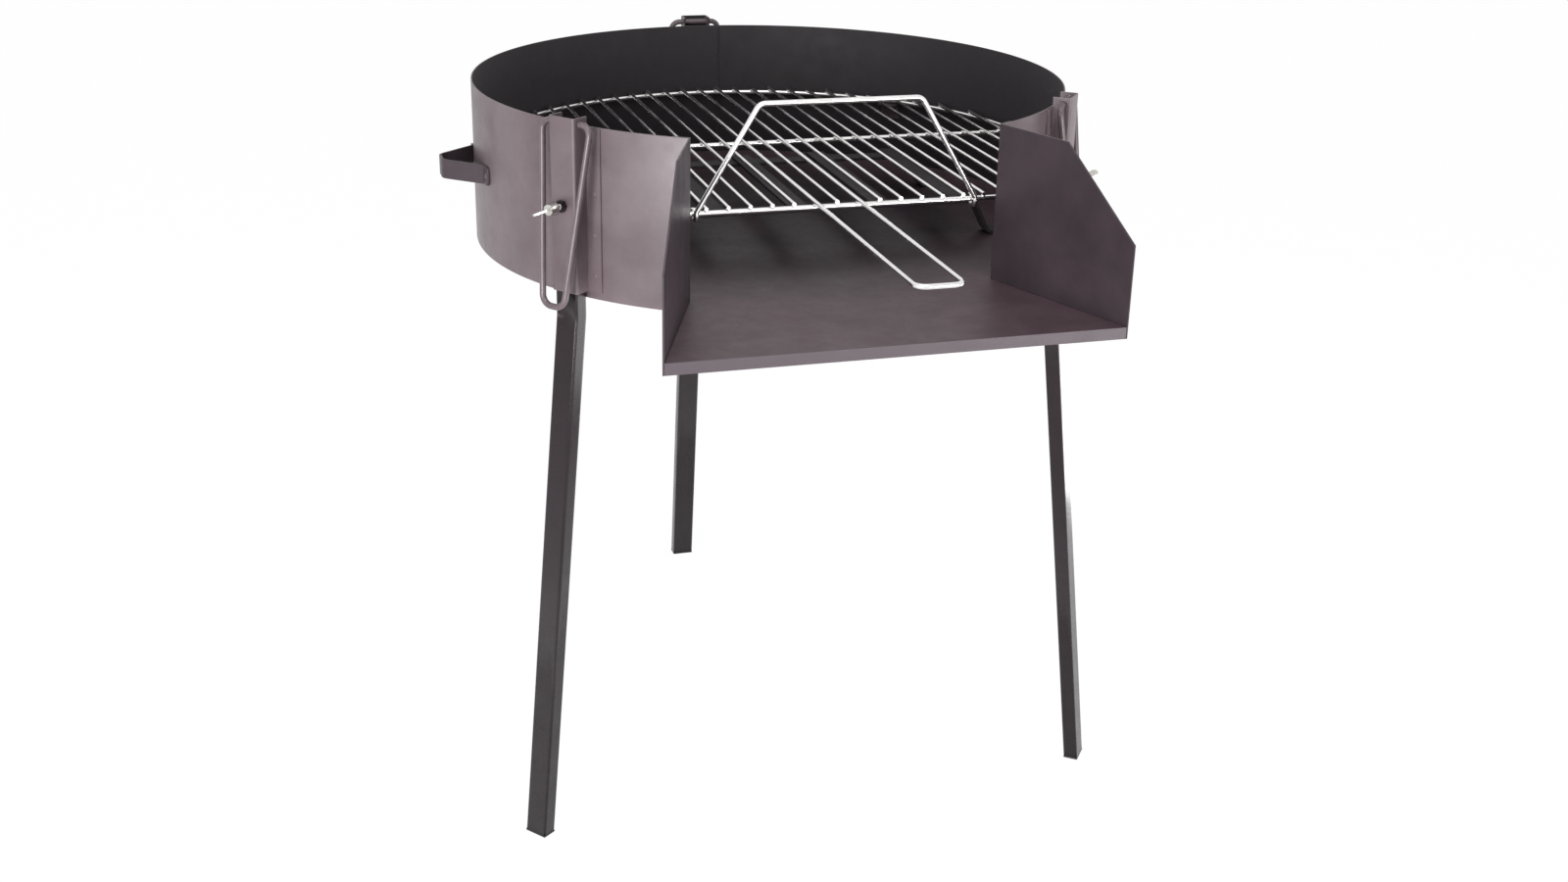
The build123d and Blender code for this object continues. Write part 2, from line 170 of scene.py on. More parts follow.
def buildRoom():
    world = bpy.data.worlds.new("studioRoom")
    scene.world = world
    world.use_nodes = True
    tree = world.node_tree
    tree.nodes.clear()
    strength = addNode(
        tree, "ShaderNodeMapRange", {"Value": seenDirectly(tree), "To Min": room["ambient"], "To Max": 1.0},
    )
    back = addNode(
        tree,
        "ShaderNodeBackground",
        {"Color": hexColour("#ffffff"), "Strength": strength.outputs["Result"]},
    )
    addNode(tree, "ShaderNodeOutputWorld", {"Surface": back.outputs["Background"]})

    mesh = bpy.data.meshes.new("studioFloor")
    half = room["floorSize"] / 2
    mesh.from_pydata(
        [(-half, -half, 0), (half, -half, 0), (half, half, 0), (-half, half, 0)], [], [(0, 1, 2, 3)],
    )
    floor = bpy.data.objects.new("studioFloor", mesh)
    scene.collection.objects.link(floor)
    material, tree, shader = newMaterial("whitePaperSweep")
    shader.inputs["Base Color"].default_value = hexColour("#f4f3f4")
    shader.inputs["Roughness"].default_value = 0.9
    glow = addNode(
        tree, "ShaderNodeEmission", {"Color": hexColour("#ffffff"), "Strength": room["glowStrength"]},
    )
    share = addNode(
        tree, "ShaderNodeMath", {0: seenDirectly(tree), 1: room["floorGlow"]}, operation="MULTIPLY",
    )
    mixed = addNode(
        tree,
        "ShaderNodeMixShader",
        {0: share.outputs[0], 1: shader.outputs["BSDF"], 2: glow.outputs["Emission"]},
    )
    tree.links.new(mixed.outputs[0], tree.nodes["Material Output"].inputs["Surface"])
    mesh.materials.append(material)


lamps = {
    "frontSoftbox": {"place": (-2.3, -2.5, 0.5), "size": (1.6, 1.6), "power": 118.0},
    "topSoftbox": {"place": (-0.3, -1.4, 3.0), "size": (1.6, 1.6), "power": 34.0},
    "fillSoftbox": {"place": (1.4, -2.5, 0.3), "size": (1.2, 0.5), "power": 40.0},
    "lowStrip": {"place": (0.75, 0.125, 0.2), "size": (1.0, 0.38), "power": 4.4},
}


def hangLamps():
    target = Vector((0, 0, (cadBox[0].z + cadBox[1].z) / 2))
    for name, lamp in lamps.items():
        data = bpy.data.lights.new(name, "AREA")
        data.shape = "RECTANGLE"
        data.size, data.size_y = lamp["size"]
        data.energy = lamp["power"]
        obj = bpy.data.objects.new(name, data)
        place = Vector(lamp["place"])
        turned = (target - place).to_track_quat("-Z", "Y").to_matrix().to_4x4()
        obj.matrix_world = Matrix.Translation(place) @ turned
        obj.visible_camera = False
        scene.collection.objects.link(obj)


buildRoom()
hangLamps()
print("room and lamps set")


# ---- finishes
def mixColours(tree, share, first, second):
    # the colour mix's sockets are 6 and 7, its result is 2
    return addNode(tree, "ShaderNodeMix", {0: share, 6: first, 7: second}, data_type="RGBA").outputs[2]


def objectPlace(tree):
    return addNode(tree, "ShaderNodeTexCoord").outputs["Object"]


def levelFromAxis(tree, place):
    # the level offset from the drum's axis to a point
    offset = addNode(tree, "ShaderNodeVectorMath", {0: place, 1: axis}, operation="SUBTRACT").outputs[0]
    return addNode(tree, "ShaderNodeVectorMath", {0: offset, 1: (1, 1, 0)}, operation="MULTIPLY").outputs[0]


def sprayedPaint(name, look):
    # Paint sprayed on sheet steel: two close tones in slow clouds, the fine ripple that
    # drops leave as they flow together, dull rubbed patches, dust on what faces up, and
    # where asked painted shade on the drum's inner side and within the drum, and painted light on front
    # faces.
    material, tree, shader = newMaterial(name)
    place = objectPlace(tree)
    clouds = addNode(
        tree,
        "ShaderNodeTexNoise",
        {"Vector": place, "Scale": 1 / look["cloud"], "Detail": 5.0, "Roughness": 0.62},
    )
    spread = addNode(
        tree,
        "ShaderNodeMapRange",
        {"Value": clouds.outputs["Fac"], "From Min": 0.36, "From Max": 0.64},
    ).outputs["Result"]
    colour = mixColours(tree, spread, hexColour(look["dark"]), hexColour(look["light"]))
    facing = addNode(tree, "ShaderNodeNewGeometry")
    if look.get("inside"):
        # the side towards the drum's axis is darker: painted shade, as less light reaches the drum's inside
        level = levelFromAxis(tree, place)
        length = addNode(tree, "ShaderNodeVectorMath", {0: level}, operation="NORMALIZE")
        dot = addNode(
            tree,
            "ShaderNodeVectorMath",
            {0: length.outputs[0], 1: facing.outputs["Normal"]},
            operation="DOT_PRODUCT",
        )
        inner = addNode(
            tree, "ShaderNodeMapRange", {"Value": dot.outputs["Value"], "From Min": -0.2, "From Max": -0.5},
        ).outputs["Result"]
        colour = mixColours(tree, inner, colour, hexColour(look["inside"]))
    if look.get("withinReach"):
        # what lies within the drum is darker: painted shade cast by the drum's walls and the grate
        level = levelFromAxis(tree, place)
        reach = addNode(tree, "ShaderNodeVectorMath", {0: level}, operation="LENGTH").outputs["Value"]
        full, none = look["withinReach"] * look["withinFull"], look["withinReach"]
        within = addNode(tree, "ShaderNodeMapRange", {"Value": reach, "From Min": none, "From Max": full})
        colour = mixColours(tree, within.outputs["Result"], colour, hexColour(look["within"]))
    if look.get("frontLitTone"):
        # the faces turned to the front, the folded front edge, are lighter: painted light where the front
        # lamps fall
        across = addNode(
            tree,
            "ShaderNodeVectorMath",
            {0: facing.outputs["Normal"], 1: (0, -1, 0)},
            operation="DOT_PRODUCT",
        )
        front = addNode(
            tree, "ShaderNodeMapRange", {"Value": across.outputs["Value"], "From Min": 0.5, "From Max": 0.9},
        )
        colour = mixColours(tree, front.outputs["Result"], colour, hexColour(look["frontLitTone"]))
    specks = addNode(
        tree,
        "ShaderNodeTexVoronoi",
        {"Vector": place, "Scale": 1 / look["speckSpacing"], "Randomness": 1.0},
    )
    small = addNode(
        tree,
        "ShaderNodeMath",
        {0: specks.outputs["Distance"], 1: look["speck"] / look["speckSpacing"]},
        operation="LESS_THAN",
    )
    split = addNode(tree, "ShaderNodeSeparateXYZ", {0: facing.outputs["Normal"]})
    up = addNode(tree, "ShaderNodeMath", {0: split.outputs["Z"], 1: 0.8}, operation="GREATER_THAN")
    dust = addNode(tree, "ShaderNodeMath", {0: small.outputs[0], 1: up.outputs[0]}, operation="MULTIPLY")
    dusty = mixColours(tree, dust.outputs[0], colour, hexColour(look["dust"]))
    tree.links.new(dusty, shader.inputs["Base Color"])

    rubbed = addNode(
        tree,
        "ShaderNodeTexNoise",
        {"Vector": place, "Scale": 1 / look["rub"], "Detail": 6.0, "Roughness": 0.7},
    )
    gloss = addNode(
        tree,
        "ShaderNodeMapRange",
        {
            "Value": rubbed.outputs["Fac"],
            "From Min": 0.3,
            "From Max": 0.7,
            "To Min": look["roughness"] - 0.06,
            "To Max": look["roughness"] + 0.08,
        },
    )
    dull = gloss.outputs["Result"]
    if look.get("inside"):
        # and duller there
        loss = addNode(tree, "ShaderNodeMath", {0: inner, 1: look["glossLoss"]}, operation="MULTIPLY")
        dull = addNode(tree, "ShaderNodeMath", {0: dull, 1: loss.outputs[0]}, operation="ADD").outputs[0]
    tree.links.new(dull, shader.inputs["Roughness"])
    shader.inputs["IOR"].default_value = look["ior"]
    peel = addNode(tree, "ShaderNodeTexNoise", {"Vector": place, "Scale": 1 / look["peel"], "Detail": 2.0})
    waves = addNode(tree, "ShaderNodeTexNoise", {"Vector": place, "Scale": 1 / look["wave"], "Detail": 1.0})
    slow = addNode(
        tree,
        "ShaderNodeBump",
        {"Height": waves.outputs["Fac"], "Distance": look["waveDepth"], "Strength": 1.0},
    )
    fine = addNode(
        tree,
        "ShaderNodeBump",
        {
            "Height": peel.outputs["Fac"],
            "Distance": look["peelDepth"],
            "Strength": 1.0,
            "Normal": slow.outputs["Normal"],
        },
    )
    tree.links.new(fine.outputs["Normal"], shader.inputs["Normal"])
    return material


def platedMetal(name, look):
    # Bright plating: metal under fine drawn or tumbled marks, with a slow drift in its gloss
    material, tree, shader = newMaterial(name)
    place = objectPlace(tree)
    clouds = addNode(
        tree, "ShaderNodeTexNoise", {"Vector": place, "Scale": 1 / look["cloud"], "Detail": 4.0},
    )
    tone = mixColours(tree, clouds.outputs["Fac"], hexColour(look["dark"]), hexColour(look["light"]))
    tree.links.new(tone, shader.inputs["Base Color"])
    shader.inputs["Metallic"].default_value = 1.0
    gloss = addNode(
        tree,
        "ShaderNodeMapRange",
        {
            "Value": clouds.outputs["Fac"],
            "From Min": 0.3,
            "From Max": 0.7,
            "To Min": look["roughness"] * 0.75,
            "To Max": look["roughness"] * 1.3,
        },
    )
    tree.links.new(gloss.outputs["Result"], shader.inputs["Roughness"])
    marks = addNode(tree, "ShaderNodeTexNoise", {"Vector": place, "Scale": 1 / look["mark"], "Detail": 3.0})
    bump = addNode(
        tree,
        "ShaderNodeBump",
        {"Height": marks.outputs["Fac"], "Distance": look["markDepth"], "Strength": 1.0},
    )
    tree.links.new(bump.outputs["Normal"], shader.inputs["Normal"])
    return material


paintBase = {
    "cloud": 70 * mm, "rub": 26 * mm, "peel": 3 * mm, "peelDepth": 0.03 * mm,
    "wave": 60 * mm, "waveDepth": 0.5 * mm, "speckSpacing": 34 * mm, "speck": 0.8 * mm, "dust": "#8f898c",
}
finishes = {
    # silicone stove paint, baked on the rolled sheet: greyish, half gloss, with painted shade on its inner
    # side
    "drumPaint": sprayedPaint("stovePaintOnSheet", {
        **paintBase, "dark": "#5d5054", "light": "#6c6064", "inside": "#181217", "glossLoss": 0.25,
        "roughness": 0.4, "ior": 1.5,
    }),
    # the same paint on the floor, the shelf and the grate's lugs, with painted shade within the drum and
    # painted light on the front lip
    "shelfPaint": sprayedPaint("stovePaintOnShelf", {
        **paintBase, "dark": "#4a3a40", "light": "#5a494f", "roughness": 0.42, "ior": 1.42,
        "withinReach": 315 * mm, "withinFull": 0.6, "within": "#261c21", "frontLitTone": "#50474d",
    }),
    # a darker tone of it on the wings and the carrying handles: painted shade, as their faces get less light
    "shadedWingPaint": sprayedPaint("stovePaintOnWingsShaded", {
        **paintBase, "dark": "#352d32", "light": "#40363c", "roughness": 0.42, "ior": 1.42,
    }),
    # powder coat on the leg tubes and the nuts: black, smoother
    "tubePaint": sprayedPaint("powderCoatOnTube", {
        **paintBase, "dark": "#170d12", "light": "#1e1319", "roughness": 0.24, "ior": 1.42,
        "waveDepth": 0.2 * mm, "peelDepth": 0.008 * mm,
    }),
    # thin, even paint on the pan supports' wire, greyish all over: a painted sheen on the black paint
    "wirePaint": sprayedPaint("blackPaintOnWire", {
        **paintBase, "dark": "#5a4e52", "light": "#685c60", "roughness": 0.3, "ior": 1.5,
        "waveDepth": 0.1 * mm,
    }),
    # matt heat-resistant paint, chalky, on the fire grate's flat bars
    "heatPaint": sprayedPaint("mattHeatPaint", {
        **paintBase, "dark": "#1d191c", "light": "#2a2629", "roughness": 0.68, "ior": 1.4, "peel": 1.5 * mm,
    }),
    "chrome": platedMetal("chromePlateOnWire", {
        "cloud": 30 * mm, "mark": 1.2 * mm, "markDepth": 0.004 * mm, "dark": "#dcd9d9", "light": "#efeded",
        "roughness": 0.22,
    }),
    "zinc": platedMetal("brightZincPlate", {
        "cloud": 6 * mm, "mark": 0.5 * mm, "markDepth": 0.012 * mm, "dark": "#b6b3ae", "light": "#d8d6d2",
        "roughness": 0.3,
    }),
}


def mouldedPlastic():
    # Polyethylene tube plug: black, waxy, with the mould's fine spark-eroded grain
    material, tree, shader = newMaterial("mouldedBlackPlastic")
    place = objectPlace(tree)
    grain = addNode(tree, "ShaderNodeTexNoise", {"Vector": place, "Scale": 1 / (0.8 * mm), "Detail": 2.0})
    tone = mixColours(tree, grain.outputs["Fac"], hexColour("#141414"), hexColour("#1f1e1f"))
    tree.links.new(tone, shader.inputs["Base Color"])
    shader.inputs["Roughness"].default_value = 0.5
    bump = addNode(
        tree, "ShaderNodeBump", {"Height": grain.outputs["Fac"], "Distance": 0.03 * mm, "Strength": 1.0},
    )
    tree.links.new(bump.outputs["Normal"], shader.inputs["Normal"])
    return material


finishes["plastic"] = mouldedPlastic()
print("finishes made")


# ---- helpers for pieces
def newPiece(name, mesh, finish):
    obj = bpy.data.objects.new(name, mesh)
    scene.collection.objects.link(obj)
    mesh.materials.clear()
    mesh.materials.append(finishes[finish])
    return obj


def fit(obj, body, slot, *nodes):
    # the piece rides on its body and stands for these CAD nodes
    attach(obj, body)
    if nodes:
        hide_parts(*nodes)


easing = {"steps": 2, "angle": 35, "flat": 0.5, "merge": 0.002 * mm}


def softened(name, node, finish, rounding):
    # the CAD node's shape with its sheared or moulded edges eased
    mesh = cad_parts[node].data.copy()
    shape = bmesh.new()
    shape.from_mesh(mesh)
    bmesh.ops.remove_doubles(shape, verts=shape.verts, dist=easing["merge"])
    flat = math.radians(easing["flat"])
    bmesh.ops.dissolve_limit(shape, angle_limit=flat, verts=shape.verts, edges=shape.edges)
    for face in shape.faces:
        face.smooth = True
    shape.to_mesh(mesh)
    shape.free()
    for attribute in ("custom_normal", "sharp_edge", "sharp_face"):
        if attribute in mesh.attributes:
            mesh.attributes.remove(mesh.attributes[attribute])
    obj = newPiece(name, mesh, finish)
    bevel = obj.modifiers.new("easedEdges", "BEVEL")
    bevel.width = rounding
    bevel.segments = easing["steps"]
    bevel.limit_method = "ANGLE"
    bevel.angle_limit = math.radians(easing["angle"])
    bevel.harden_normals = True
    bevel.use_clamp_overlap = True
    return obj


def setInputs(modifier, values):
    # a node tree's inputs are set by identifier
    for item in modifier.node_group.interface.items_tree:
        if item.item_type == "SOCKET" and item.in_out == "INPUT" and item.name in values:
            modifier[item.identifier] = values[item.name]


def newTree(name, inputs):
    tree = bpy.data.node_groups.new(name, "GeometryNodeTree")
    tree.interface.new_socket("Geometry", in_out="INPUT", socket_type="NodeSocketGeometry")
    for label, kind in inputs.items():
        tree.interface.new_socket(label, in_out="INPUT", socket_type="NodeSocket" + kind)
    tree.interface.new_socket("Geometry", in_out="OUTPUT", socket_type="NodeSocketGeometry")
    return tree, addNode(tree, "NodeGroupInput").outputs


def closeTree(tree, geometry, finish):
    real = addNode(tree, "GeometryNodeRealizeInstances", {"Geometry": geometry})
    coated = addNode(tree, "GeometryNodeSetMaterial", {"Geometry": real.outputs[0], "Material": finish})
    addNode(tree, "NodeGroupOutput", {0: coated.outputs[0]})


def grow(name, mesh, tree, values, crease=40):
    # runs a tree on a mesh and keeps the result as a plain mesh
    obj = bpy.data.objects.new(name, mesh)
    scene.collection.objects.link(obj)
    modifier = obj.modifiers.new(name, "NODES")
    modifier.node_group = tree
    setInputs(modifier, values)
    graph = bpy.context.evaluated_depsgraph_get()
    made = bpy.data.meshes.new_from_object(obj.evaluated_get(graph))
    obj.modifiers.clear()
    obj.data = made
    made.name = name
    made.set_sharp_from_angle(angle=math.radians(crease))
    return obj


# ---- bent wire: a path of corners, each rounded to its own bend, swept with a round section
def buildWireTree():
    tree, given = newTree(
        "bentWire", {"Wire diameter": "Float", "Sides": "Int", "Bend steps": "Int", "Finish": "Material"},
    )
    path = addNode(tree, "GeometryNodeMeshToCurve", {"Mesh": given["Geometry"]})
    bend = addNode(tree, "GeometryNodeInputNamedAttribute", {"Name": "bendRadius"}, data_type="FLOAT")
    rounded = addNode(
        tree,
        "GeometryNodeFilletCurve",
        {"Curve": path.outputs[0], "Radius": bend.outputs["Attribute"], "Count": given["Bend steps"]},
        mode="POLY",
    )
    radius = addNode(tree, "ShaderNodeMath", {0: given["Wire diameter"], 1: 0.5}, operation="MULTIPLY")
    section = addNode(
        tree,
        "GeometryNodeCurvePrimitiveCircle",
        {"Resolution": given["Sides"], "Radius": radius.outputs[0]},
    )
    swept = addNode(
        tree,
        "GeometryNodeCurveToMesh",
        {"Curve": rounded.outputs[0], "Profile Curve": section.outputs[0], "Fill Caps": True},
    )
    smooth = addNode(tree, "GeometryNodeSetShadeSmooth", {"Geometry": swept.outputs[0]})
    closeTree(tree, smooth.outputs[0], given["Finish"])
    return tree


wireTree = buildWireTree()


def pathMesh(name, points, bends, closed):
    mesh = bpy.data.meshes.new(name)
    count = len(points)
    edges = [(i, i + 1) for i in range(count - 1)] + ([(count - 1, 0)] if closed else [])
    mesh.from_pydata([tuple(p) for p in points], edges, [])
    attribute = mesh.attributes.new("bendRadius", "FLOAT", "POINT")
    for i, bend in enumerate(bends):
        attribute.data[i].value = bend
    return mesh


wireSides = 18


def bentWire(name, points, bends, wire, finish, closed=False, bendSteps=10):
    values = {
        "Wire diameter": wire,
        "Sides": wireSides,
        "Bend steps": bendSteps,
        "Finish": finishes[finish],
    }
    return grow(name, pathMesh(name, points, bends, closed), wireTree, values)


# ---- the drum's wall: a thin upright strip of sheet rolled round the axis
def buildWallTree():
    tree, given = newTree("rolledWall", {
        "Middle radius": "Float", "Height": "Float", "Sheet": "Float", "Edge rounding": "Float",
        "Start": "Float", "Sweep": "Float", "Steps": "Int", "Centre": "Vector", "Finish": "Material",
    })
    line = addNode(
        tree,
        "GeometryNodeCurveArc",
        {
            "Resolution": given["Steps"],
            "Radius": given["Middle radius"],
            "Start Angle": given["Start"],
            "Sweep Angle": given["Sweep"],
        },
        mode="RADIUS",
    )
    upright = addNode(tree, "GeometryNodeSetCurveNormal", {"Curve": line.outputs[0]}, mode="Z_UP")
    section = addNode(
        tree,
        "GeometryNodeCurvePrimitiveQuadrilateral",
        {"Width": given["Sheet"], "Height": given["Height"]},
        mode="RECTANGLE",
    )
    eased = addNode(
        tree,
        "GeometryNodeFilletCurve",
        {"Curve": section.outputs[0], "Radius": given["Edge rounding"], "Count": 3},
        mode="POLY",
    )
    swept = addNode(
        tree,
        "GeometryNodeCurveToMesh",
        {"Curve": upright.outputs[0], "Profile Curve": eased.outputs[0], "Fill Caps": True},
    )
    placed = addNode(
        tree, "GeometryNodeTransform", {"Geometry": swept.outputs[0], "Translation": given["Centre"]},
    )
    smooth = addNode(tree, "GeometryNodeSetShadeSmooth", {"Geometry": placed.outputs[0]})
    closeTree(tree, smooth.outputs[0], given["Finish"])
    return tree


def makeWall():
    values = {
        "Middle radius": drum["radius"] - drum["sheet"] / 2,
        "Height": drum["rim"] - drum["bottom"],
        "Sheet": drum["sheet"],
        "Edge rounding": drum["edgeRound"],
        "Start": math.radians(drum["mouthAngle"] - 90),
        "Sweep": math.radians(360 - 2 * drum["mouthAngle"]),
        "Steps": drum["steps"],
        "Centre": Vector((0, drum["axisY"], (drum["rim"] + drum["bottom"]) / 2)),
        "Finish": finishes["drumPaint"],
    }
    wall = grow("drumWall", bpy.data.meshes.new("drumWall"), buildWallTree(), values)
    fit(wall, "drum", "black_paint", "drum_wall")


makeWall()
print("wall rolled")


# ---- sheet and strap parts: the CAD's shapes with eased edges
easedParts = {
    "floorAndShelf": ("floor_and_shelf", "shelfPaint", 0.5 * mm, "drum", "black_paint"),
    "leftWing": ("left_wing", "shadedWingPaint", 0.4 * mm, "drum", "black_paint"),
    "rightWing": ("right_wing", "shadedWingPaint", 0.4 * mm, "drum", "black_paint"),
    "leftBracket": ("left_bracket", "drumPaint", 0.35 * mm, "drum", "black_paint"),
    "rightBracket": ("right_bracket", "drumPaint", 0.35 * mm, "drum", "black_paint"),
    "rearBracket": ("rear_bracket", "drumPaint", 0.35 * mm, "drum", "black_paint"),
    "leftHandle": ("left_handle", "shadedWingPaint", 0.6 * mm, "drum", "black_paint"),
    "rightHandle": ("right_handle", "shadedWingPaint", 0.6 * mm, "drum", "black_paint"),
    "clampNuts": ("clamp_nuts", "tubePaint", 0.5 * mm, "drum", "black_paint"),
    "grateLugs": ("grate_lugs", "shelfPaint", 0.4 * mm, "drum", "black_paint"),
    "footPlugs": ("foot_plugs", "plastic", 0.5 * mm, "drum", "black_plastic"),
    "fireGrateBars": ("fire_grate_bars", "heatPaint", 0.5 * mm, "fire_grate", "heat_paint"),
    "fireGrateFrontCross": ("fire_grate_front_cross", "heatPaint", 0.5 * mm, "fire_grate", "heat_paint"),
    "fireGrateRearCross": ("fire_grate_rear_cross", "heatPaint", 0.5 * mm, "fire_grate", "heat_paint"),
}
for name, (node, finish, rounding, body, slot) in easedParts.items():
    fit(softened(name, node, finish, rounding), body, slot, node)
print("sheet parts eased")


# ---- legs: rectangular tube, bent out where it leaves the bracket
leg = {
    "width": 25 * mm, "depth": 15 * mm, "wall": 1.5 * mm, "corner": 2 * mm, "cornerSteps": 4,
    "outerRadius": 316 * mm, "footRadius": 380.5 * mm, "kinkHeight": 530 * mm, "bendRadius": 45 * mm,
    "station": 2 * mm, "straightAbove": 12, "straightBelow": 13, "bendStations": 6, "faceBand": 0.1 * mm,
    "plugCap": 2 * mm, "dentDepth": 2.4 * mm, "dentHalfWidth": 9 * mm, "dentHalfLength": 8 * mm,
}


def tubeSection():
    # the outline of the tube, from the middle of its outer face round to it again
    halfWidth, halfDepth, corner = leg["width"] / 2, leg["depth"] / 2, leg["corner"]
    points = []
    for turn, (cx, cy) in enumerate(((1, 1), (-1, 1), (-1, -1), (1, -1))):
        for step in range(leg["cornerSteps"] + 1):
            angle = math.radians(90 * (turn + step / leg["cornerSteps"]))
            points.append((
                cx * (halfWidth - corner) + corner * math.cos(angle),
                cy * (halfDepth - corner) + corner * math.sin(angle),
            ))
    full = []
    for i, (x, y) in enumerate(points):
        nx, ny = points[(i + 1) % len(points)]
        run = math.hypot(nx - x, ny - y)
        pieces = max(1, round(run / leg["station"]))
        full += [(x + (nx - x) * k / pieces, y + (ny - y) * k / pieces) for k in range(pieces)]
    return full


def makeLeg(side, azimuth):
    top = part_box(f"{side}_leg")[1].z
    splay = math.atan((leg["footRadius"] - leg["outerRadius"]) / leg["kinkHeight"])
    middle = leg["outerRadius"] - leg["depth"] / 2
    tangentLength = leg["bendRadius"] * math.tan(splay / 2)
    kink = leg["kinkHeight"] - leg["depth"] / 2 * math.tan(splay / 2)
    # stations down the tube: (radius, height, lean)
    stations = [(middle, top, 0.0)]
    for k in range(leg["straightAbove"]):
        height = kink + leg["station"] * (leg["straightAbove"] - k)
        if height > kink + tangentLength:
            stations.append((middle, height, 0.0))
    for k in range(leg["bendStations"] + 1):
        lean = splay * k / leg["bendStations"]
        stations.append((
            middle + leg["bendRadius"] * (1 - math.cos(lean)),
            kink + tangentLength - leg["bendRadius"] * math.sin(lean),
            lean,
        ))
    radius, height, lean = stations[-1]
    for k in range(1, leg["straightBelow"] + 1):
        along = leg["station"] * k
        stations.append((radius + along * math.sin(splay), height - along * math.cos(splay), splay))
    radius, height, lean = stations[-1]
    drop = height - leg["plugCap"]
    stations.append((radius + drop * math.tan(splay), leg["plugCap"], splay))

    section = tubeSection()
    out, sideways, up = outward(azimuth), tangent(azimuth), Vector((0, 0, 1))
    shape = bmesh.new()
    rings = []
    for index, (radius, height, lean) in enumerate(stations):
        face = out * math.cos(lean) + up * math.sin(lean)
        run = out * math.sin(lean) - up * math.cos(lean)
        ring = []
        for x, y in section:
            point = axis + out * radius + up * height + sideways * x + face * y
            if y > leg["depth"] / 2 - leg["faceBand"]:
                away = (height - leg["kinkHeight"]) / leg["dentHalfLength"]
                across = x / leg["dentHalfWidth"]
                point -= face * leg["dentDepth"] * math.exp(-(away ** 2 + across ** 2) ** 1.5)
            if index == len(stations) - 1:
                point += run * ((leg["plugCap"] - point.z) / run.z)
            ring.append(shape.verts.new(point))
        rings.append(ring)
    for above, below in zip(rings, rings[1:]):
        for i in range(len(section)):
            j = (i + 1) % len(section)
            shape.faces.new((above[i], below[i], below[j], above[j])).smooth = True
    bmesh.ops.recalc_face_normals(shape, faces=shape.faces)
    mesh = bpy.data.meshes.new(side + "Leg")
    shape.to_mesh(mesh)
    shape.free()
    obj = newPiece(side + "Leg", mesh, "tubePaint")
    thick = obj.modifiers.new("tubeWall", "SOLIDIFY")
    thick.thickness = leg["wall"]
    thick.offset = -1
    fit(obj, "drum", "black_paint", f"{side}_leg")


for side, azimuth in legAzimuths.items():
    makeLeg(side, azimuth)
print("legs bent")


# ---- clamps: a wing screw forged in one piece, with its thread cut on the shank
screw = {
    "tipRadius": 316.3 * mm, "hubRadius": 328.6 * mm, "thread": 6 * mm, "pitch": 1 * mm,
    "threadDepth": 0.55 * mm,
    "around": 24, "perTurn": 8, "voxel": 0.4 * mm, "smoothing": 0.5, "passes": 5,
    "shankGap": 0.05 * mm,
}


def makeThread(side, azimuth, height):
    out, sideways, up = outward(azimuth), tangent(azimuth), Vector((0, 0, 1))
    length = screw["hubRadius"] + screw["pitch"] - screw["tipRadius"]
    steps = round(length / screw["pitch"] * screw["perTurn"])
    count = screw["around"]
    shape = bmesh.new()
    rings = []
    for step in range(steps + 1):
        along = length * step / steps
        ring = []
        for i in range(count):
            phase = (along / screw["pitch"] - i / count) % 1.0
            radius = screw["thread"] / 2 - screw["threadDepth"] * abs(2 * phase - 1)
            angle = 2 * math.pi * i / count
            point = axis + up * height + out * (screw["tipRadius"] + along)
            ring.append(
                shape.verts.new(point + (sideways * math.cos(angle) + up * math.sin(angle)) * radius),
            )
        rings.append(ring)
    for near, far in zip(rings, rings[1:]):
        for i in range(count):
            j = (i + 1) % count
            shape.faces.new((near[i], near[j], far[j], far[i])).smooth = True
    shape.faces.new(rings[0])
    shape.faces.new(rings[-1])
    bmesh.ops.recalc_face_normals(shape, faces=shape.faces)
    mesh = bpy.data.meshes.new(side + "ScrewThread")
    shape.to_mesh(mesh)
    shape.free()
    fit(newPiece(side + "ScrewThread", mesh, "zinc"), f"{side}_wing_screw", "zinc_plate")


def makeWingScrew(side, azimuth):
    # the CAD's hub and wings without the shank, run into one another without a crease
    low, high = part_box("clamp_nuts")
    height = (low.z + high.z) / 2
    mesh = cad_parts[f"{side}_wing_screw"].data.copy()
    shape = bmesh.new()
    shape.from_mesh(mesh)
    bmesh.ops.remove_doubles(shape, verts=shape.verts, dist=easing["merge"])
    cut = axis + outward(azimuth) * (screw["hubRadius"] + screw["shankGap"])
    parts = list(shape.verts) + list(shape.edges) + list(shape.faces)
    bmesh.ops.bisect_plane(shape, geom=parts, plane_co=cut, plane_no=outward(azimuth), clear_inner=True)
    bmesh.ops.holes_fill(shape, edges=[edge for edge in shape.edges if edge.is_boundary])
    bmesh.ops.recalc_face_normals(shape, faces=shape.faces)
    shape.to_mesh(mesh)
    shape.free()
    obj = newPiece(side + "WingScrew", mesh, "zinc")
    remesh = obj.modifiers.new("forged", "REMESH")
    remesh.mode = "VOXEL"
    remesh.voxel_size = screw["voxel"]
    remesh.use_smooth_shade = True
    smooth = obj.modifiers.new("rounded", "SMOOTH")
    smooth.factor = screw["smoothing"]
    smooth.iterations = screw["passes"]
    graph = bpy.context.evaluated_depsgraph_get()
    made = bpy.data.meshes.new_from_object(obj.evaluated_get(graph))
    obj.modifiers.clear()
    obj.data = made
    fit(obj, f"{side}_wing_screw", "zinc_plate", f"{side}_wing_screw")
    makeThread(side, azimuth, height)


for side, azimuth in legAzimuths.items():
    makeWingScrew(side, azimuth)
print("clamps made")


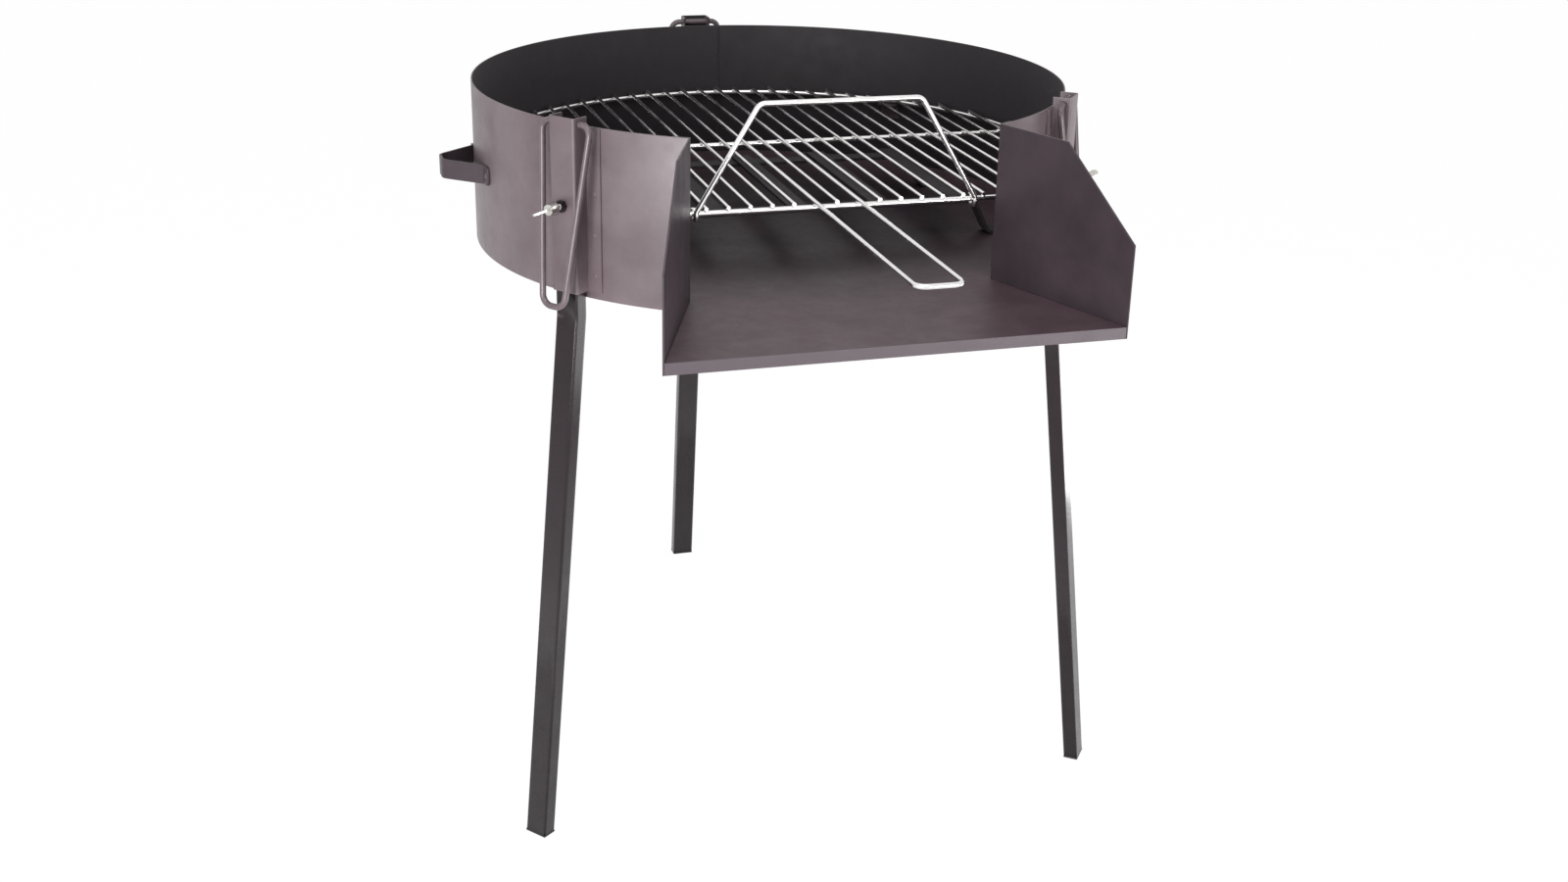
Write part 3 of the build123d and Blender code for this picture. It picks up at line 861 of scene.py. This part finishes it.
# ---- welds on the drum: spots pressed through the lapped sheets, and ripples laid in a row
weld = {
    "spot": 5.5 * mm, "spotRise": 0.45 * mm, "bead": 3.2 * mm, "beadRise": 0.7 * mm, "ripple": 1.5 * mm,
    "bracketLateral": 22.5 * mm, "bracketOuter": 301.6 * mm, "handleLateral": 51 * mm,
    "handleOuter": 302.6 * mm,
    "seamAzimuth": 175.2, "seamEnd": 3 * mm, "spotShares": (0.14, 0.38, 0.62, 0.86), "crease": 80,
}


def buildWeldTree():
    tree, given = newTree(
        "welds", {"Size": "Vector", "Segments": "Int", "Rings": "Int", "Finish": "Material"},
    )
    drop = addNode(
        tree,
        "GeometryNodeMeshUVSphere",
        {"Segments": given["Segments"], "Rings": given["Rings"], "Radius": 0.5},
    )
    facing = addNode(tree, "GeometryNodeInputNamedAttribute", {"Name": "facing"}, data_type="FLOAT_VECTOR")
    turned = addNode(
        tree, "FunctionNodeAlignRotationToVector", {"Vector": facing.outputs["Attribute"]}, axis="Z",
    )
    laid = addNode(
        tree,
        "GeometryNodeInstanceOnPoints",
        {
            "Points": given["Geometry"],
            "Instance": drop.outputs[0],
            "Rotation": turned.outputs[0],
            "Scale": given["Size"],
        },
    )
    real = addNode(tree, "GeometryNodeRealizeInstances", {"Geometry": laid.outputs[0]})
    smooth = addNode(tree, "GeometryNodeSetShadeSmooth", {"Geometry": real.outputs[0]})
    closeTree(tree, smooth.outputs[0], given["Finish"])
    return tree


def onWall(azimuth, lateral, radius, height, inside=False):
    # a point on a face of the drum, at a distance round from an azimuth, and the way it faces
    turned = azimuth + math.degrees(lateral / radius)
    point = axis + outward(turned) * radius
    point.z = height
    return point, -outward(turned) if inside else outward(turned)


def makeWelds():
    low, high = drum["bottom"], drum["rim"]
    spots = []
    for azimuth in legAzimuths.values():
        for lateral in (-weld["bracketLateral"], weld["bracketLateral"]):
            for share in weld["spotShares"]:
                spots.append(onWall(azimuth, lateral, weld["bracketOuter"], low + (high - low) * share))
    handleLow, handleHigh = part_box("left_handle")
    for azimuth in (-90, 90):
        for lateral in (-weld["handleLateral"], weld["handleLateral"]):
            spots.append(onWall(azimuth, lateral, weld["handleOuter"], (handleLow.z + handleHigh.z) / 2))
    ripples = []
    rows = round((high - low - 2 * weld["seamEnd"]) / weld["ripple"])
    for row in range(rows + 1):
        height = low + weld["seamEnd"] + weld["ripple"] * row
        ripples.append(onWall(weld["seamAzimuth"], 0, drum["radius"], height))
        ripples.append(onWall(weld["seamAzimuth"], 0, drum["radius"] - drum["sheet"], height, inside=True))
    tree = buildWeldTree()
    kinds = {
        "spotWelds": (spots, (weld["spot"], weld["spot"], 2 * weld["spotRise"]), 14, 8),
        "seamWeld": (ripples, (weld["bead"], weld["bead"], 2 * weld["beadRise"]), 10, 6),
    }
    for name, (places, size, segments, rings) in kinds.items():
        mesh = bpy.data.meshes.new(name)
        mesh.from_pydata([tuple(point) for point, _ in places], [], [])
        facing = mesh.attributes.new("facing", "FLOAT_VECTOR", "POINT")
        for i, (_, way) in enumerate(places):
            facing.data[i].vector = way
        values = {
            "Size": Vector(size),
            "Segments": segments,
            "Rings": rings,
            "Finish": finishes["drumPaint"],
        }
        fit(grow(name, mesh, tree, values, crease=weld["crease"]), "drum", "black_paint")


makeWelds()
print("welds laid")


# ---- pan supports: closed loops of wire that hang on the brackets
support = {
    "wire": 6 * mm, "hingeRadius": 310 * mm, "topHalf": 28.5 * mm, "endHalf": 12.7 * mm, "length": 168 * mm,
    "tilt": 8.0, "topBend": 9 * mm, "endBend": 11 * mm,
}
for side, azimuth in legAzimuths.items():
    hinge = axis + outward(azimuth) * support["hingeRadius"]
    hinge.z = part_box(f"{side}_pan_support")[1].z - support["wire"] / 2
    down = outward(azimuth) * math.sin(math.radians(support["tilt"])) - Vector(
        (0, 0, math.cos(math.radians(support["tilt"]))),
    )
    corners = [
        (support["topHalf"], 0),
        (support["endHalf"], support["length"]),
        (-support["endHalf"], support["length"]),
        (-support["topHalf"], 0),
    ]
    points = [hinge + tangent(azimuth) * x + down * y for x, y in corners]
    bends = [support["topBend"], support["endBend"], support["endBend"], support["topBend"]]
    loop = bentWire(side + "PanSupport", points, bends, support["wire"], "wirePaint", closed=True)
    fit(loop, f"{side}_pan_support", "wire_paint", f"{side}_pan_support")
print("pan supports bent")


# ---- cooking grate
frameLow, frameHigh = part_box("grate_frame")
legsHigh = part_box("grate_handle_legs")[1]
bowLow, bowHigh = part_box("grate_handle_bow")
barsLow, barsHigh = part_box("grate_bars")
grate = {
    "frameWire": 5 * mm, "barWire": 3.75 * mm, "handleWire": 4.5 * mm, "corner": 15 * mm,
    "pitch": 20.8 * mm, "crossY": 29 * mm, "handleBend": 10 * mm, "arcSteps": 150,
    "cornerSteps": 10, "weldRadius": 2.3 * mm, "barSides": 14, "crease": 50,
}
grate["radius"] = frameHigh.x - grate["frameWire"] / 2
grate["height"] = (frameLow.z + frameHigh.z) / 2
grate["chord"] = drum["axisY"] - (frameLow.y + grate["frameWire"] / 2)


def roundedFrame():
    inset = grate["radius"] - grate["corner"]
    cornerY = grate["chord"] - grate["corner"]
    cornerX = math.sqrt(inset ** 2 - cornerY ** 2)
    reach = math.degrees(math.atan2(cornerX, cornerY))
    points = [
        outward(
            reach + (360 - 2 * reach) * k / grate["arcSteps"],
        ) * grate["radius"] for k in range(grate["arcSteps"] + 1)
    ]
    for sign in (-1, 1):
        centre = Vector((sign * cornerX, -cornerY, 0))
        bend = [
            centre + outward(
                sign * reach * k / grate["cornerSteps"],
            ) * grate["corner"] for k in range(grate["cornerSteps"])
        ]
        points += reversed(bend) if sign < 0 else bend
    return [axis + p + Vector((0, 0, grate["height"])) for p in points]


framePoints = roundedFrame()
gratePieces = {
    "grateFrame": (framePoints, [0.0] * len(framePoints), grate["frameWire"], True, "grate_frame"),
}
crossLow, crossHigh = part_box("grate_cross_wire")
crossMiddle = (crossLow + crossHigh) / 2
gratePieces["grateCrossWire"] = (
    [
        Vector((crossLow.x, crossMiddle.y, crossMiddle.z)),
        Vector((crossHigh.x, crossMiddle.y, crossMiddle.z)),
    ],
    [0.0, 0.0], grate["frameWire"], False, "grate_cross_wire",
)
handleZ = (bowLow.z + bowHigh.z) / 2
handleFront = bowLow.y + grate["handleWire"] / 2
gratePieces["grateHandle"] = (
    [
        Vector((grate["pitch"], legsHigh.y, handleZ)),
        Vector((grate["pitch"], handleFront, handleZ)),
        Vector((-grate["pitch"], handleFront, handleZ)),
        Vector((-grate["pitch"], legsHigh.y, handleZ)),
    ],
    [
        0.0, grate["handleBend"], grate["handleBend"], 0.0,
    ], grate["handleWire"], False, "grate_handle_legs", "grate_handle_bow",
)
for name, (points, bends, wire, closed, *nodes) in gratePieces.items():
    fit(
        bentWire(name, points, bends, wire, "chrome", closed=closed), "cooking_grate", "chrome_wire", *nodes,
    )


def buildBarsTree():
    # straight bars laid across the ring at an even pitch, each as long as the ring is deep there,
    # with a flattened weld where it crosses the ring, the straight front and the cross wire
    tree, given = newTree("grateBars", {
        "Pitch": "Float", "Bars each side": "Int", "Ring radius": "Float", "Chord distance": "Float",
        "Cross distance": "Float", "Axis Y": "Float", "Bar height": "Float", "Weld height": "Float",
        "Bar diameter": "Float", "Overhang": "Float", "Weld radius": "Float", "Sides": "Int",
        "Finish": "Material",
    })

    def maths(operation, a, b=0.0):
        return addNode(tree, "ShaderNodeMath", {0: a, 1: b}, operation=operation).outputs[0]

    def point(x, y, z):
        return addNode(tree, "ShaderNodeCombineXYZ", {0: x, 1: y, 2: z}).outputs[0]

    each = given["Bars each side"]
    first = maths("MULTIPLY", maths("MULTIPLY", each, -1.0), given["Pitch"])
    count = maths("ADD", maths("MULTIPLY", each, 2.0), 1.0)
    row = addNode(
        tree,
        "GeometryNodeMeshLine",
        {
            "Count": count,
            "Start Location": point(first, 0.0, 0.0),
            "Offset": point(given["Pitch"], 0.0, 0.0),
        },
    )
    x = addNode(
        tree, "ShaderNodeSeparateXYZ", {0: addNode(tree, "GeometryNodeInputPosition").outputs[0]},
    ).outputs[0]
    ring = maths(
        "SQRT", maths("SUBTRACT", maths("POWER", given["Ring radius"], 2.0), maths("MULTIPLY", x, x)),
    )
    front = maths("MINIMUM", ring, given["Chord distance"])
    # the handle's two legs take the places beside the middle bar
    place = maths("ABSOLUTE", maths("DIVIDE", x, given["Pitch"]))
    beside = maths("COMPARE", place, 1.0)
    kept = addNode(
        tree,
        "GeometryNodeDeleteGeometry",
        {"Geometry": row.outputs[0], "Selection": beside},
        domain="POINT",
    )
    start = maths("SUBTRACT", maths("SUBTRACT", given["Axis Y"], front), given["Overhang"])
    placed = addNode(
        tree,
        "GeometryNodeSetPosition",
        {"Geometry": kept.outputs[0], "Position": point(x, start, given["Bar height"])},
    )
    length = maths("ADD", maths("ADD", front, ring), maths("MULTIPLY", given["Overhang"], 2.0))
    unit = addNode(tree, "GeometryNodeCurvePrimitiveLine", {"Start": (0, 0, 0), "End": (0, 1, 0)})
    laid = addNode(
        tree,
        "GeometryNodeInstanceOnPoints",
        {"Points": placed.outputs[0], "Instance": unit.outputs[0], "Scale": point(1.0, length, 1.0)},
    )
    lines = addNode(tree, "GeometryNodeRealizeInstances", {"Geometry": laid.outputs[0]})
    section = addNode(
        tree,
        "GeometryNodeCurvePrimitiveCircle",
        {"Resolution": given["Sides"], "Radius": maths("MULTIPLY", given["Bar diameter"], 0.5)},
    )
    swept = addNode(
        tree,
        "GeometryNodeCurveToMesh",
        {"Curve": lines.outputs[0], "Profile Curve": section.outputs[0], "Fill Caps": True},
    )
    # welds at the three crossings of every bar and of the handle's legs
    blob = addNode(tree, "GeometryNodeMeshIcoSphere", {"Radius": given["Weld radius"], "Subdivisions": 2})
    joined = addNode(tree, "GeometryNodeJoinGeometry")
    tree.links.new(swept.outputs[0], joined.inputs[0])
    for reach in (maths("MULTIPLY", front, -1.0), ring, given["Cross distance"]):
        spots = addNode(
            tree,
            "GeometryNodeSetPosition",
            {
                "Geometry": row.outputs[0],
                "Position": point(x, maths("ADD", given["Axis Y"], reach), given["Weld height"]),
            },
        )
        welds = addNode(
            tree,
            "GeometryNodeInstanceOnPoints",
            {"Points": spots.outputs[0], "Instance": blob.outputs[0], "Scale": (1.0, 1.15, 0.62)},
        )
        tree.links.new(welds.outputs[0], joined.inputs[0])
    smooth = addNode(tree, "GeometryNodeSetShadeSmooth", {"Geometry": joined.outputs[0]})
    closeTree(tree, smooth.outputs[0], given["Finish"])
    return tree


barValues = {
    "Pitch": grate["pitch"],
    "Bars each side": round((barsHigh.x - grate["barWire"] / 2) / grate["pitch"]),
    "Ring radius": grate["radius"],
    "Chord distance": grate["chord"],
    "Cross distance": grate["crossY"],
    "Axis Y": drum["axisY"],
    "Bar height": (barsLow.z + barsHigh.z) / 2,
    "Weld height": grate["height"] + grate["frameWire"] / 2,
    "Bar diameter": grate["barWire"],
    "Overhang": grate["frameWire"] / 2,
    "Weld radius": grate["weldRadius"],
    "Sides": grate["barSides"],
    "Finish": finishes["chrome"],
}
bars = grow(
    "grateBars", bpy.data.meshes.new("grateBars"), buildBarsTree(), barValues, crease=grate["crease"],
)
fit(bars, "cooking_grate", "chrome_wire", "grate_bars")
print("cooking grate made")


# ---- bail: its ends hook under the grate's front wire
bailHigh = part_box("grate_bail")[1]
bail = {
    "wire": 5 * mm,
    "eyeX": 135.2 * mm,
    "eyeRadius": 5.4 * mm,
    "tip": 4 * mm,
    "lead": 2.5 * mm,
    "topHalf": 77 * mm,
    "bend": 9 * mm,
    "slack": 0.1 * mm,
    "bendSteps": 12,
}


def makeBail():
    chordY, height = drum["axisY"] - grate["chord"], grate["height"]
    top = bailHigh.z - bail["wire"] / 2
    half = [
        (bail["eyeX"], chordY + bail["eyeRadius"], height + bail["tip"]),
        (bail["eyeX"], chordY + bail["eyeRadius"], height - bail["eyeRadius"]),
        (bail["eyeX"], chordY - bail["eyeRadius"], height - bail["eyeRadius"]),
        (bail["eyeX"], chordY - bail["eyeRadius"], height + bail["lead"]),
        (bail["topHalf"], chordY - bail["eyeRadius"], top),
    ]
    curl = bail["eyeRadius"] - bail["slack"]
    bends = [0.0, curl, curl, bail["lead"], bail["bend"]]
    points = [Vector(p) for p in half] + [Vector((-x, y, z)) for x, y, z in reversed(half)]
    wire = bentWire(
        "grateBail", points, bends + bends[::-1], bail["wire"], "chrome", bendSteps=bail["bendSteps"],
    )
    fit(wire, "bail", "chrome_wire", "grate_bail")


makeBail()
print("bail bent")
